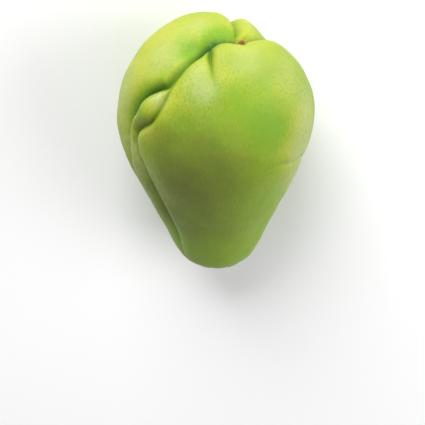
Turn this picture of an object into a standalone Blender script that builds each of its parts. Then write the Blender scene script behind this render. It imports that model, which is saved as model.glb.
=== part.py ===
"""A whole chayote squash, picked, lying on its flatter back.

The squash is shaped standing up in its own frame, where +Z runs from the stem end to the blossom end,
-Y is the side that ends uppermost and +X is its right. A place on its skin is given by two angles:
"down", from the blossom end (0) to the stem end (180), and "round", about the long axis, where
0 is the right, -90 the uppermost side and 180 the left. It is then laid down, so that +Y points to
the blossom end, +Z is up, and it rests on z = 0 where its own weight has pressed the skin flat.
"""

import math
from collections import namedtuple

import bmesh
import bpy
import numpy as np
from mathutils import Matrix, Vector

MM = 0.001

# The pear outline. Its fullness is a series in the cosine of "down", in mm.
BLOSSOM_END = 46 * MM  # above the centre of the widest section
STEM_END = -100 * MM
FULLNESS = (44.5, 22.0, -2.7, -11.4, 13.2)
FRONT_DEPTH = 0.88  # half thickness of the uppermost side, as a share of the half width
BACK_DEPTH = 0.80  # the side that it lies on is flatter
EYE = -20 * MM  # height of a point inside, from which the whole outline is in sight
OUTLINE_POINTS = 721

# How it lies: the stem end leans down and the right side down by these degrees, which is where it settles.
LYING_TILT = 10.9
LYING_ROLL = 0.5
PRESSED = 0.4 * MM  # how much skin its weight flattens
FLAT_WITHIN = 0.04 * MM  # skin this close to the surface touches it too

# The skin's mesh.
RINGS = 130
SEGMENTS = 230
KEPT_FACES = 0.125  # the share of its triangles that is kept, most of them where it bends most
CROWDING = 0.25  # how much closer the rings stand at the blossom end, in radians
GATHER = 0.7  # how strongly the mesh is drawn to the furrows
GATHER_REACH = 7 * MM
GATHER_DEPTH = 3 * MM  # furrows of this depth and more draw it fully

# Furrows and the skin between them.
FURROW_POINTS = 200
FURROW_ROUNDING = 0.3 * MM  # how blunt the bottom of a furrow is
LEAN_REACH = 5 * MM
LEAN_DEPTH = 4 * MM  # furrows of this depth and more lean fully
UNEVEN = 0.5 * MM  # the skin's slight unevenness
UNEVEN_LENGTH = 7 * MM

# The dried remnant of the flower.
REMNANT_SEPALS = 5
REMNANT_RADIUS = 2.4 * MM
REMNANT_HEIGHT = 3.0 * MM
REMNANT_STUB = 0.5 * MM  # radius of the stub under the sepals
REMNANT_DIP = 0.28  # how far the middle of the top dips, as a share of the height
REMNANT_BRIM = 0.80  # height of the underside of the sepals, as a share of the height
REMNANT_NOTCH = 0.45  # how deep the notches between the sepals are, as a share of the radius
REMNANT_SUNK = 1.6 * MM  # its foot stands this far below the unfolded skin, just clear of the scar
REMNANT_SEGMENTS = 30
REMNANT_RINGS = 12

SKIN_GREEN = (0.36, 0.52, 0.07, 1.0)
SKIN_ROUGHNESS = 0.45
DRIED_BROWN = (0.30, 0.12, 0.04, 1.0)
DRIED_ROUGHNESS = 0.9

# A fold is a furrow between two lobes. Each of its points gives a place by its angles down and round, then
# in mm the furrow's depth there, and the width over which the lobe on the left and the lobe on the right of
# its path roll into it. Near the furrow the left lobe leans over the right one by "lean" mm.
Fold = namedtuple("Fold", "lean points")
# A swelling raises the skin round a place by "rise" mm, over about "spread" mm.
Swelling = namedtuple("Swelling", "down round rise spread")

SCAR = (17, -50)  # where the flower was

GREAT_FOLD = Fold(
    lean=1.7,
    points=(
        (*SCAR, 3, 5, 8), (15.5, -64, 7, 5, 12), (15.5, -82, 10.5, 4, 14), (17.5, -93, 11.5, 4, 13),
        (22.4, -106, 7, 4.2, 5.5), (28.6, -113.9, 3.8, 5.5, 3.4), (35.3, -118.9, 3.8, 6.5, 3.7),
        (42, -123.3, 6, 6, 5), (44.6, -130.2, 8, 5, 8), (49, -137.5, 9, 5, 11), (56.5, -143.5, 9, 5, 15),
        (64.5, -149, 7.5, 5, 17), (75, -151.5, 5, 5, 14), (90, -157, 2, 6, 12), (105, -158, 0, 6, 12),
    ),
)
# It forks off the great fold, cuts the small tongue off from the front lobe and runs on down the left side.
TONGUE_FOLD = Fold(
    lean=1.2,
    points=(
        (22.4, -106, 0, 6, 5), (28.6, -113.5, 3, 6.5, 4), (35.1, -118.2, 3.5, 6.5, 3.5),
        (41.3, -120.3, 3.5, 6, 3), (47.2, -122.3, 3.8, 5.5, 3), (53.8, -125, 4, 5, 3),
        (59.2, -129.2, 4.8, 4.5, 4), (63.5, -136.3, 5, 4, 5), (68, -141.5, 6, 4, 7),
        (76, -141.5, 6, 4, 8), (84, -138, 6, 4, 8), (92, -135, 5.5, 4, 9),
        (104, -133, 5, 5, 10), (118, -134, 3.5, 6, 10), (134, -138, 1.5, 8, 10), (150, -140, 0, 8, 10),
    ),
)
CREST_NICK = Fold(
    lean=0.5,
    points=(
        (17, -95, 4.5, 3, 4.5), (21, -94, 5.5, 3, 4.2), (26, -94, 4.2, 3.5, 4), (31, -93, 2.6, 4, 4.5),
        (36, -92, 1.2, 5, 6), (42, -91, 0, 6, 7),
    ),
)
# Between the great left lobe and the small right one.
BACK_FOLD = Fold(
    lean=1.2,
    points=(
        (*SCAR, 3, 5, 4), (13.5, -52, 3.5, 5, 4), (10, -34, 4.5, 5, 5.5), (8, -8, 5, 6, 6),
        (12, 60, 5, 8, 7), (25, 80, 5, 11, 11), (40, 84, 3.5, 13, 13), (58, 84, 1.5, 14, 14),
        (76, 82, 0, 14, 14),
    ),
)
# Between the front lobe and the small right one.
RIGHT_FOLD = Fold(
    lean=0,
    points=(
        (*SCAR, 3, 7, 5), (18.5, -30, 6, 9, 5), (26, -6, 7.5, 12.5, 5), (36, 3, 6.5, 15, 7),
        (50, 10, 4, 16, 10), (66, 18, 1.5, 16, 14), (84, 24, 0, 16, 16),
    ),
)
LOW_CREASE = Fold(
    lean=0.4,
    points=(
        (90, -8, 0, 4, 3), (84, -24, 2.4, 4, 3), (82, -36, 2, 4, 3), (79, -50, 1, 4, 3), (78, -62, 0, 4, 3),
    ),
)
# The mouth-like pucker in the stem end, and the short crease that meets it.
STEM_MOUTH = Fold(
    lean=0,
    points=(
        (158, -20, 0, 6, 6), (166, -12, 2, 6, 6), (174, 0, 4.5, 7, 7),
        (176, 150, 4.5, 7, 7), (169, 176, 2, 6, 6), (160, 184, 0, 6, 6),
    ),
)
STEM_CREASE = Fold(
    lean=0,
    points=((178, 90, 4, 5, 5), (172, 96, 2.5, 5, 5), (164, 92, 1.2, 6, 6), (156, 90, 0, 6, 6)),
)
FOLDS = (GREAT_FOLD, TONGUE_FOLD, CREST_NICK, BACK_FOLD, RIGHT_FOLD, LOW_CREASE, STEM_MOUTH, STEM_CREASE)

SWELLINGS = (
    Swelling(down=32, round=-150, rise=1.4, spread=24),
    Swelling(down=24, round=110, rise=1.3, spread=16),
    Swelling(down=9, round=86, rise=0.9, spread=5),
    Swelling(down=40, round=-178, rise=-1.7, spread=26),
    Swelling(down=17, round=-50, rise=-2.2, spread=6),
    Swelling(down=20, round=-78, rise=2.0, spread=8),
    Swelling(down=21, round=-117, rise=-3, spread=6),
    Swelling(down=21, round=-38, rise=1.2, spread=6),
    Swelling(down=28, round=-29, rise=3.6, spread=11),
    Swelling(down=42, round=-10, rise=2.0, spread=14),
    Swelling(down=40, round=40, rise=-9.5, spread=22),
    Swelling(down=14, round=22, rise=2.6, spread=8),
    Swelling(down=54, round=-132, rise=3.6, spread=9.5),
    Swelling(down=96, round=10, rise=-1.5, spread=18),
    Swelling(down=82, round=172, rise=1.2, spread=16),
    Swelling(down=178, round=0, rise=-2.5, spread=9),
)


def smooth_skin(down, around):
    """Places on the skin before any lobe or fold, for angles in radians."""
    middle = (BLOSSOM_END + STEM_END) / 2
    half = (BLOSSOM_END - STEM_END) / 2
    cosine = np.cos(down)
    radius = np.sin(down) * MM * sum(share * cosine**power for power, share in enumerate(FULLNESS))
    depth = np.where(np.sin(around) > 0, BACK_DEPTH, FRONT_DEPTH)
    return np.stack([radius * np.cos(around), depth * radius * np.sin(around), middle + half * cosine], -1)


def outward(down, around):
    """Unit normals of the smooth skin."""
    step = 1e-4
    safe = np.clip(down, 1e-3, math.pi - 1e-3)
    along = smooth_skin(safe + step, around) - smooth_skin(safe - step, around)
    across = smooth_skin(safe, around + step) - smooth_skin(safe, around - step)
    normal = np.cross(along, across)
    return normal / np.linalg.norm(normal, axis=-1, keepdims=True)


def through(values):
    """A smooth curve through a list of points, with FURROW_POINTS points from its first to its last."""
    points = np.asarray(values, float)
    ends = np.vstack([2 * points[0] - points[1], points, 2 * points[-1] - points[-2]])
    where = np.linspace(0, len(points) - 1, FURROW_POINTS)
    piece = np.minimum(where.astype(int), len(points) - 2)
    u = (where - piece)[:, None]
    a, b, c, d = (ends[piece + k] for k in range(4))
    return 0.5 * (2 * b + (c - a) * u + (2 * a - 5 * b + 4 * c - d) * u**2 + (3 * b - a - 3 * c + d) * u**3)


def nearest_on(fold, places, normals):
    """For each place: the vector to it from the nearest point of the furrow, the way to the furrow's left,
    how far that vector goes to the left as a share of its length, and the depth and the two rolls there."""
    points = np.array(fold.points, float)
    furrow = through(smooth_skin(*np.radians(points[:, :2]).T))
    section = through(points[:, 2:] * MM)
    heading = np.gradient(furrow, axis=0)
    squares = (places**2).sum(1)[:, None] - 2 * places @ furrow.T + (furrow**2).sum(1)
    nearest = np.argmin(squares, axis=1)
    heading = heading[nearest]
    gap = places - furrow[nearest]
    onward = np.clip((gap * heading).sum(1) / (heading**2).sum(1), -0.5, 0.5)
    where = np.clip(nearest + onward, 0, FURROW_POINTS - 1)
    steps = np.arange(FURROW_POINTS)
    gap = places - np.stack([np.interp(where, steps, furrow[:, axis]) for axis in range(3)], -1)
    leftward = np.cross(normals, heading)
    leftward /= np.linalg.norm(leftward, axis=1, keepdims=True)
    side = (gap * leftward).sum(1) / np.maximum(np.linalg.norm(gap, axis=1), 1e-9)
    depth, left, right = (np.maximum(np.interp(where, steps, section[:, part]), 0) for part in range(3))
    return gap, leftward, side, depth, left, right


def angles_of(places):
    """The angles down and round of places that are on the smooth skin or close to it."""
    down = np.linspace(0, math.pi, OUTLINE_POINTS)
    outline = smooth_skin(down, np.zeros_like(down))
    seen = np.arctan2(outline[:, 0], outline[:, 2] - EYE)
    x, y, z = places.T
    y = y / np.where(y > 0, BACK_DEPTH, FRONT_DEPTH)
    return np.interp(np.arctan2(np.hypot(x, y), z - EYE), seen, down), np.arctan2(y, x)


def gather(down, around):
    """Slides places along the smooth skin towards the furrows near them, where the mesh is to be finest."""
    for fold in FOLDS:
        places = smooth_skin(down, around)
        gap, _, _, depth, _, _ = nearest_on(fold, places, outward(down, around))
        share = np.clip(np.linalg.norm(gap, axis=1) / GATHER_REACH, 0, 1)
        pull = GATHER * np.clip(depth / GATHER_DEPTH, 0, 1) * (1 - share**2 * (3 - 2 * share))
        down, around = angles_of(places - gap * pull[:, None])
    return down, around


def rolled(distance, width):
    """How far down a round-shouldered lobe has rolled: 1 in the furrow, 0 from width outwards."""
    near = np.clip(1 - distance / width, 0, 1)
    return 1 - np.sqrt(1 - near**2)


def unevenness(places):
    """How far the skin's slight unevenness raises it at each place."""
    x, y, z = places.T / UNEVEN_LENGTH
    across = np.sin(x + 1.3 * np.sin(y + 0.7)) * np.cos(y + 0.4 * z)
    return UNEVEN * across * np.sin(0.8 * z + 1.1 * np.sin(1.2 * x))


def folded_skin(down, around):
    """Places on the finished skin, with its lobes and furrows, for arrays of angles in radians."""
    down, around = gather(down, around)
    places = smooth_skin(down, around)
    normals = outward(down, around)
    sunk = np.zeros(len(places))
    slide = np.zeros_like(places)
    for fold in FOLDS:
        gap, leftward, side, depth, left, right = nearest_on(fold, places, normals)
        distance = np.sqrt((gap**2).sum(1) + FURROW_ROUNDING**2)
        turn = 0.5 + 0.5 * np.sin(0.5 * math.pi * np.clip(side, -1, 1))
        share = rolled(distance, turn * left + (1 - turn) * right)
        sunk = (sunk**4 + (depth * share) ** 4) ** 0.25
        reach = np.exp(-((distance / LEAN_REACH) ** 2)) * np.clip(depth / LEAN_DEPTH, 0, 1)
        slide -= leftward * (fold.lean * MM * (1 - share) * reach)[:, None]
    raised = unevenness(places)
    for swelling in SWELLINGS:
        centre = smooth_skin(math.radians(swelling.down), math.radians(swelling.round))
        far = np.linalg.norm(places - centre, axis=1)
        raised += swelling.rise * MM * np.exp(-((far / (swelling.spread * MM)) ** 2))
    return places + normals * (raised - sunk)[:, None] + slide


def squash_mesh(rings, segments):
    """The skin as a closed mesh, standing in the squash's own frame."""
    ball = bmesh.new()
    bmesh.ops.create_uvsphere(ball, u_segments=segments, v_segments=rings, radius=1)
    unit = np.array([vertex.co for vertex in ball.verts])
    down = np.arccos(np.clip(unit[:, 2], -1, 1))
    down -= CROWDING * np.sin(down)
    around = np.arctan2(unit[:, 1], unit[:, 0])
    for vertex, place in zip(ball.verts, folded_skin(down, around)):
        vertex.co = place
    mesh = bpy.data.meshes.new("chayote_squash")
    ball.to_mesh(mesh)
    ball.free()
    return mesh


def press_flat(mesh, lying, below):
    """Puts every vertex that is lower than below on z = 0, as the mesh is placed by the matrix lying."""
    standing = lying.inverted()
    for vertex in mesh.vertices:
        place = lying @ vertex.co
        if place.z < below:
            place.z = 0
            vertex.co = standing @ place


def thinned(mesh):
    """A fine mesh without most of its triangles, which are kept where it bends most."""
    fine = bpy.data.objects.new(mesh.name, mesh)
    bpy.context.scene.collection.objects.link(fine)
    decimate = fine.modifiers.new("Thin out", "DECIMATE")
    decimate.ratio = KEPT_FACES
    thin = bpy.data.meshes.new_from_object(fine.evaluated_get(bpy.context.evaluated_depsgraph_get()))
    bpy.data.objects.remove(fine)
    bpy.data.meshes.remove(mesh)
    return thin


def lying_pose(mesh):
    """The matrix that lays the squash down on its back, centred, with PRESSED of it below z = 0."""
    roll = Matrix.Rotation(math.radians(LYING_ROLL), 4, "Z")
    turn = Matrix.Rotation(math.radians(LYING_TILT - 90), 4, "X") @ roll
    places = np.array([turn @ vertex.co for vertex in mesh.vertices])
    low, high = places.min(axis=0), places.max(axis=0)
    middle = (low + high) / 2
    return Matrix.Translation((-middle[0], -middle[1], -low[2] - PRESSED)) @ turn


def remnant_mesh():
    """Dried sepals spread over a short stub that stands on z = 0, as one closed body."""
    ball = bmesh.new()
    bmesh.ops.create_uvsphere(ball, u_segments=REMNANT_SEGMENTS, v_segments=REMNANT_RINGS, radius=1)
    for vertex in ball.verts:
        level = math.acos(max(-1.0, min(1.0, vertex.co.z))) / math.pi  # 0 at the top, 1 at the foot
        around = math.atan2(vertex.co.y, vertex.co.x)
        point = 0.5 + 0.5 * math.cos(REMNANT_SEPALS * around)
        if level <= 0.5:
            spread = math.sin(level * math.pi)
            height = 1 - REMNANT_DIP * (1 - spread**2)
        else:
            spread = max(math.cos((level - 0.5) * math.pi) ** 3, 0)
            height = REMNANT_BRIM * math.cos((level - 0.5) * math.pi)
        star = 1 - REMNANT_NOTCH * (1 - point)
        stub = REMNANT_STUB * math.sin(level * math.pi) ** 0.3
        radius = max(REMNANT_RADIUS * spread * star, stub if level > 0.5 else 0)
        vertex.co = Vector((radius * math.cos(around), radius * math.sin(around), REMNANT_HEIGHT * height))
    mesh = bpy.data.meshes.new("flower_remnant")
    ball.to_mesh(mesh)
    ball.free()
    return mesh


def scar_pose():
    """The matrix that stands the remnant in the scar, in the squash's own frame."""
    down, around = np.radians(SCAR)
    normal = Vector(outward(down, around))
    place = Vector(smooth_skin(down, around)) - REMNANT_SUNK * normal
    return Matrix.Translation(place) @ normal.to_track_quat("Z", "Y").to_matrix().to_4x4()


def material(name, colour, roughness):
    made = bpy.data.materials.new(name)
    made.use_nodes = True
    shader = made.node_tree.nodes["Principled BSDF"]
    shader.inputs["Base Color"].default_value = colour
    shader.inputs["Roughness"].default_value = roughness
    return made


def add_node(collection, mesh, name, finish, pose):
    """Puts a smooth-shaded mesh in the collection under its node's name, placed by the matrix pose."""
    mesh.materials.append(finish)
    mesh.shade_smooth()
    node = bpy.data.objects.new(name, mesh)
    node.matrix_world = pose
    collection.objects.link(node)


def clear_scene():
    for thing in list(bpy.data.objects):
        bpy.data.objects.remove(thing)
    for mesh in list(bpy.data.meshes):
        bpy.data.meshes.remove(mesh)


def main():
    clear_scene()
    collection = bpy.data.collections.new("Chayote squash")
    bpy.context.scene.collection.children.link(collection)
    skin = squash_mesh(RINGS, SEGMENTS)
    lying = lying_pose(skin)
    press_flat(skin, lying, 0)
    skin = thinned(skin)
    press_flat(skin, lying, FLAT_WITHIN)
    add_node(collection, skin, "chayote_squash", material("skin", SKIN_GREEN, SKIN_ROUGHNESS), lying)
    dried = material("dried_flower", DRIED_BROWN, DRIED_ROUGHNESS)
    add_node(collection, remnant_mesh(), "flower_remnant", dried, lying @ scar_pose())


main()
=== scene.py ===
"""The looks of a chayote squash that lies on its flatter back: its folded skin and its dried flower.

The squash is shaped standing up in its own frame, where +Z runs from the stem end to the blossom end,
-Y is the side that ends uppermost and +X is its right. A place on its skin is given by two angles:
"down", from the blossom end (0) to the stem end (180), and "round", about the long axis, where
0 is the right, -90 the uppermost side and 180 the left. It is then laid down where the frame has it.
"""

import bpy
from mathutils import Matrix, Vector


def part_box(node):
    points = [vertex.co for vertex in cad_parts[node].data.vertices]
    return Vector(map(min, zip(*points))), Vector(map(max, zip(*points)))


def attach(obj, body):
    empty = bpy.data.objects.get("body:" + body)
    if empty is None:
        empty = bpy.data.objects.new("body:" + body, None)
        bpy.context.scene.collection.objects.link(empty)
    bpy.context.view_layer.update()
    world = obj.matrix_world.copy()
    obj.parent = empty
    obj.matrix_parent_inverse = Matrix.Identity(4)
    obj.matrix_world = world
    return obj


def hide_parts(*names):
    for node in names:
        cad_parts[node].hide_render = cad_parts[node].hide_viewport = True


bl_info = {
    "name": "Chayote Squash",
    "version": (1, 0, 0),
    "blender": (4, 5, 0),
    "location": "3D View > Sidebar > Squash",
    "description": "Makes the folded skin and the dried flower of a chayote squash, and the stage it lies on",
    "category": "Object",
}

import math
from collections import namedtuple

import bmesh
import bpy
import numpy as np
from bpy.props import FloatProperty, FloatVectorProperty, IntProperty, PointerProperty
from mathutils import Matrix, Vector, noise

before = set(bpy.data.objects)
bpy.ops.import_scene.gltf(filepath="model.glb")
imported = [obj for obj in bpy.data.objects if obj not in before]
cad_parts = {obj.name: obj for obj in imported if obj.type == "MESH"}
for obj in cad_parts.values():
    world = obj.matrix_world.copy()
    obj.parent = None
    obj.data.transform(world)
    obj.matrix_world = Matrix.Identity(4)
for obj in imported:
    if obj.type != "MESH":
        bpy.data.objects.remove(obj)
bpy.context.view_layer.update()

MM = 0.001
TINY = 1e-9  # keeps a divisor clear of 0
SKIN_NODE = "chayote_squash"
FLOWER_NODE = "flower_remnant"
BODY = "root"

# The pear outline. Its fullness is a series in the cosine of "down", in mm.
BLOSSOM_END = 46 * MM  # above the centre of the widest section
STEM_END = -100 * MM
FULLNESS = (44.5, 22.0, -2.7, -11.4, 13.2)
FRONT_DEPTH = 0.88  # half thickness of the uppermost side, as a share of the half width
BACK_DEPTH = 0.80  # the side that it lies on is flatter
EYE = -20 * MM  # height of a point inside, from which the whole outline is in sight
OUTLINE_POINTS = 721

# How it lies: the stem end leans down and the right side down by these degrees.
LYING_TILT = 10.9
LYING_ROLL = 0.5
FLAT_WITHIN = 0.04 * MM  # skin this close to the surface is pressed flat on it
POSE_RINGS = 90  # the skin is measured on this many rings and segments to lay it down
POSE_SEGMENTS = 180

# How the skin's mesh is spread out.
CROWDING = 0.25  # how much closer the rings stand at the blossom end, in radians
GATHER = 0.7  # how strongly the mesh is drawn to the furrows
GATHER_REACH = 7 * MM
GATHER_DEPTH = 3 * MM  # furrows of this depth and more draw it fully

# Furrows and the skin between them.
FURROW_POINTS = 200
FURROW_ROUNDING = 0.3 * MM  # how blunt the bottom of a furrow is
MEETING = 4  # how sharply one furrow takes over from another where they meet
LEAN_REACH = 5 * MM
LEAN_DEPTH = 4 * MM  # furrows of this depth and more lean fully
UNEVEN = 0.5 * MM  # the skin's slight unevenness
UNEVEN_LENGTH = 7 * MM
# The furrow colour is partly greener skin and partly painted shade, with painted shade in the deepest.
FULL_HOLLOW = 8 * MM  # furrows this deep have the full furrow colour at their bottom
# The crease colour is painted shade in a dark line along a furrow's bottom.
FULL_CREASE = 7 * MM  # furrows this deep have the full crease colour in the dark line along their bottom
CREASE_SHARE = 0.25  # half width of that line, as a share of the furrow's depth
LEAST_CREASE = 0.1 * MM  # and at least this
EDGE = 2.6 * MM  # how far from the bottom of a furrow the worn edge of its left lobe is
EDGE_WIDTH = 0.9 * MM
WORN_OVER = 12  # degrees down over which the wear sets in

# The fine relief of the skin.
WRINKLE_WIDTH = 3.2 * MM
OPEN_WRINKLES = 0.5  # height of the wrinkles away from the furrows, as a share of the set height
FULL_WRINKLES = 2 * MM  # where a furrow has sunk the skin this far or more, they are higher by the set height
DIMPLE_WIDTH = 9 * MM
PLEATS = 9
PLEAT_START = 8 / 3 * MM  # how far from the middle of the scar the pleats have set in
PLEAT_REACH = 8 * MM
PUCKERS = 13
PUCKER_START = 6 * MM  # and the puckers from the middle of the stem end
PUCKER_REACH = 15 * MM
PUCKER_BEND = 2.2  # how far the wrinkles bend the puckers, in radians
BULGE_ROUNDS = 60  # smoothing rounds that the bulge of the skin is measured against
FULL_BULGE = 0.9 * MM

# The grain, which the streaks follow.
GRAIN_STRETCH = 0.28  # the grain's length as a share of the fruit's, which draws the streaks out lengthwise
GRAIN_LEAST = 9 * MM  # the grain's radius at the ends of the fruit
GRAIN_MOST = 45 * MM  # and at its belly

# The sizes of the skin's pattern.
STREAK_WIDTH = 0.7 * MM
BROAD_STREAK_WIDTH = 4.5 * MM
MOTTLE_SIZE = 11 * MM
FRECKLE_SIZE = 1.6 * MM
SPECK_SPACING = 2.3 * MM
SCAB_GRAIN = 0.5 * MM
SKIN_RELIEF = 0.06 * MM  # height of what is too fine for the mesh
FLESH_DEPTH = 2 * MM
FLESH_REACH = (1.0, 1.2, 0.3)  # how far red, green and blue light go into the flesh, as shares of that
SPECULAR = 0.3  # how strongly the wax mirrors

# Each finish comes in between these two values of the pattern that it follows.
RIPENING = (-0.15, 1.05)
SHADING = (0.0, 1.0)
HOLLOWING = (0.03, 0.6)
DEEPENING = (0.6, 1.3)
PALING = (-0.1, 0.9)
DARK_STREAKING = (0.48, 0.66)
OLIVE_STREAKING = (0.5, 0.65)
SPECKLING = (0.07, 0.15)
SCABBING = (0.35, 0.75)
DRYING = (0.3, 0.95)

# What goes into these patterns. Where it is a noise, the number is how far the noise swings the pattern.
# The crests' yellowing is partly riper skin and partly painted light where the crests catch the light.
RIPE_AND_LIT_CRESTS = 0.3
RIPE_MOTTLING = 0.9
RIPE_STREAKS = 0.5
SHADY_MOTTLING = 0.5
HOLLOW_FRECKLES = 1.2
# The pale patches are partly bloom and partly painted highlights and painted reflection.
PALE_BLOOM_AND_SHEEN = 0.8
PALE_STREAKS = 0.65
PALE_FRECKLES = 0.2
HOLLOW_LOSS = 0.6  # how much paleness a furrow loses
SMOOTH_LOSS = 0.85  # the share of its streaks that smooth skin loses
SCAB_FRECKLES = 0.9
DRY_FIBRES = 0.9

# How strongly each tint goes over the colours below it.
FURROW_TINT = 0.9
DARK_STREAK_TINT = 0.36
# The dark streaks are weaker on the pale patches, which are partly painted highlights and painted reflection.
BLOOM_AND_SHEEN_LOSS = 0.1  # how much weaker the dark streaks are on bleached skin
OLIVE_STREAK_TINT = 0.2
CREASE_TINT = 0.7
WORN_TINT = 0.7
SPECK_TINT = 0.2
SCAB_TINT = 0.85

# How far each pattern stands out, as a share of SKIN_RELIEF, and how much duller it makes the wax.
FRECKLE_HEIGHT = 0.5
STREAK_HEIGHT = 0.6
SPECK_HEIGHT = 0.5
SCAB_HEIGHT = 1.5
MOTTLED_DULLNESS = 0.12
HOLLOW_DULLNESS = 0.12
SCAB_DULLNESS = 0.3

# A fold is a furrow between two lobes. Each of its points gives a place by its angles down and round, then in
# mm the furrow's depth there, and the width over which the lobe on the left and the lobe on the right of its
# path roll into it. Near the furrow the left lobe leans over the right one by "lean" mm. "green" is how much
# greener the skin is that has rolled in, partly its own colour and partly painted shade, and how strongly the
# painted shade of the dark line along the bottom and the worn edge show. The left lobe's edge is worn pale
# below the angle "worn_from" down.
Fold = namedtuple("Fold", "points lean green worn_from", defaults=(180,))
# A swelling raises the skin round a place by "rise" mm, over about "spread" mm.
Swelling = namedtuple("Swelling", "down round rise spread")
# A blush tints the skin round a place by "share", over about "spread" mm.
Blush = namedtuple("Blush", "down round share spread")

SCAR = (17, -50)  # where the flower was

GREAT_FOLD = Fold(
    lean=1.7,
    green=1,
    worn_from=50,
    points=(
        (*SCAR, 3, 5, 8), (15.5, -64, 7, 5, 12), (15.5, -82, 10.5, 4, 14), (17.5, -93, 11.5, 4, 13),
        (22.4, -106, 7, 4.2, 5.5), (28.6, -113.9, 3.8, 5.5, 3.4), (35.3, -118.9, 3.8, 6.5, 3.7),
        (42, -123.3, 6, 6, 5), (44.6, -130.2, 8, 5, 8), (49, -137.5, 9, 5, 11), (56.5, -143.5, 9, 5, 15),
        (64.5, -149, 7.5, 5, 17), (75, -151.5, 5, 5, 14), (90, -157, 2, 6, 12), (105, -158, 0, 6, 12),
    ),
)
# It forks off the great fold, cuts the small tongue off from the front lobe and runs on down the left side.
TONGUE_FOLD = Fold(
    lean=1.2,
    green=0.8,
    worn_from=58,
    points=(
        (22.4, -106, 0, 6, 5), (28.6, -113.5, 3, 6.5, 4), (35.1, -118.2, 3.5, 6.5, 3.5),
        (41.3, -120.3, 3.5, 6, 3), (47.2, -122.3, 3.8, 5.5, 3), (53.8, -125, 4, 5, 3),
        (59.2, -129.2, 4.8, 4.5, 4), (63.5, -136.3, 5, 4, 5), (68, -141.5, 6, 4, 7),
        (76, -141.5, 6, 4, 8), (84, -138, 6, 4, 8), (92, -135, 5.5, 4, 9),
        (104, -133, 5, 5, 10), (118, -134, 3.5, 6, 10), (134, -138, 1.5, 8, 10), (150, -140, 0, 8, 10),
    ),
)
CREST_NICK = Fold(
    lean=0.5,
    green=1,
    points=(
        (17, -95, 4.5, 3, 4.5), (21, -94, 5.5, 3, 4.2), (26, -94, 4.2, 3.5, 4), (31, -93, 2.6, 4, 4.5),
        (36, -92, 1.2, 5, 6), (42, -91, 0, 6, 7),
    ),
)
# Between the great left lobe and the small right one.
BACK_FOLD = Fold(
    lean=1.2,
    green=0.35,
    points=(
        (*SCAR, 3, 5, 4), (13.5, -52, 3.5, 5, 4), (10, -34, 4.5, 5, 5.5), (8, -8, 5, 6, 6),
        (12, 60, 5, 8, 7), (25, 80, 5, 11, 11), (40, 84, 3.5, 13, 13), (58, 84, 1.5, 14, 14),
        (76, 82, 0, 14, 14),
    ),
)
# Between the front lobe and the small right one.
RIGHT_FOLD = Fold(
    lean=0,
    green=0.2,
    points=(
        (*SCAR, 3, 7, 5), (18.5, -30, 6, 9, 5), (26, -6, 7.5, 12.5, 5), (36, 3, 6.5, 15, 7),
        (50, 10, 4, 16, 10), (66, 18, 1.5, 16, 14), (84, 24, 0, 16, 16),
    ),
)
LOW_CREASE = Fold(
    lean=0.4,
    green=0.6,
    points=(
        (90, -8, 0, 4, 3), (84, -24, 2.4, 4, 3), (82, -36, 2, 4, 3), (79, -50, 1, 4, 3), (78, -62, 0, 4, 3),
    ),
)
# The mouth-like pucker in the stem end, and the short crease that meets it.
STEM_MOUTH = Fold(
    lean=0,
    green=0.8,
    points=(
        (158, -20, 0, 6, 6), (166, -12, 2, 6, 6), (174, 0, 4.5, 7, 7),
        (176, 150, 4.5, 7, 7), (169, 176, 2, 6, 6), (160, 184, 0, 6, 6),
    ),
)
STEM_CREASE = Fold(
    lean=0,
    green=0.8,
    points=((178, 90, 4, 5, 5), (172, 96, 2.5, 5, 5), (164, 92, 1.2, 6, 6), (156, 90, 0, 6, 6)),
)
FOLDS = (GREAT_FOLD, TONGUE_FOLD, CREST_NICK, BACK_FOLD, RIGHT_FOLD, LOW_CREASE, STEM_MOUTH, STEM_CREASE)

SWELLINGS = (
    Swelling(down=32, round=-150, rise=1.4, spread=24),
    Swelling(down=24, round=110, rise=1.3, spread=16),
    Swelling(down=9, round=86, rise=0.9, spread=5),
    Swelling(down=40, round=-178, rise=-1.7, spread=26),
    Swelling(down=17, round=-50, rise=-2.2, spread=6),
    Swelling(down=20, round=-78, rise=2.0, spread=8),
    Swelling(down=21, round=-117, rise=-3, spread=6),
    Swelling(down=21, round=-38, rise=1.2, spread=6),
    Swelling(down=28, round=-29, rise=3.6, spread=11),
    Swelling(down=42, round=-10, rise=2.0, spread=14),
    Swelling(down=40, round=40, rise=-9.5, spread=22),
    Swelling(down=14, round=22, rise=2.6, spread=8),
    Swelling(down=54, round=-132, rise=3.6, spread=9.5),
    Swelling(down=96, round=10, rise=-1.5, spread=18),
    Swelling(down=82, round=172, rise=1.2, spread=16),
    Swelling(down=178, round=0, rise=-2.5, spread=9),
)
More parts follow.
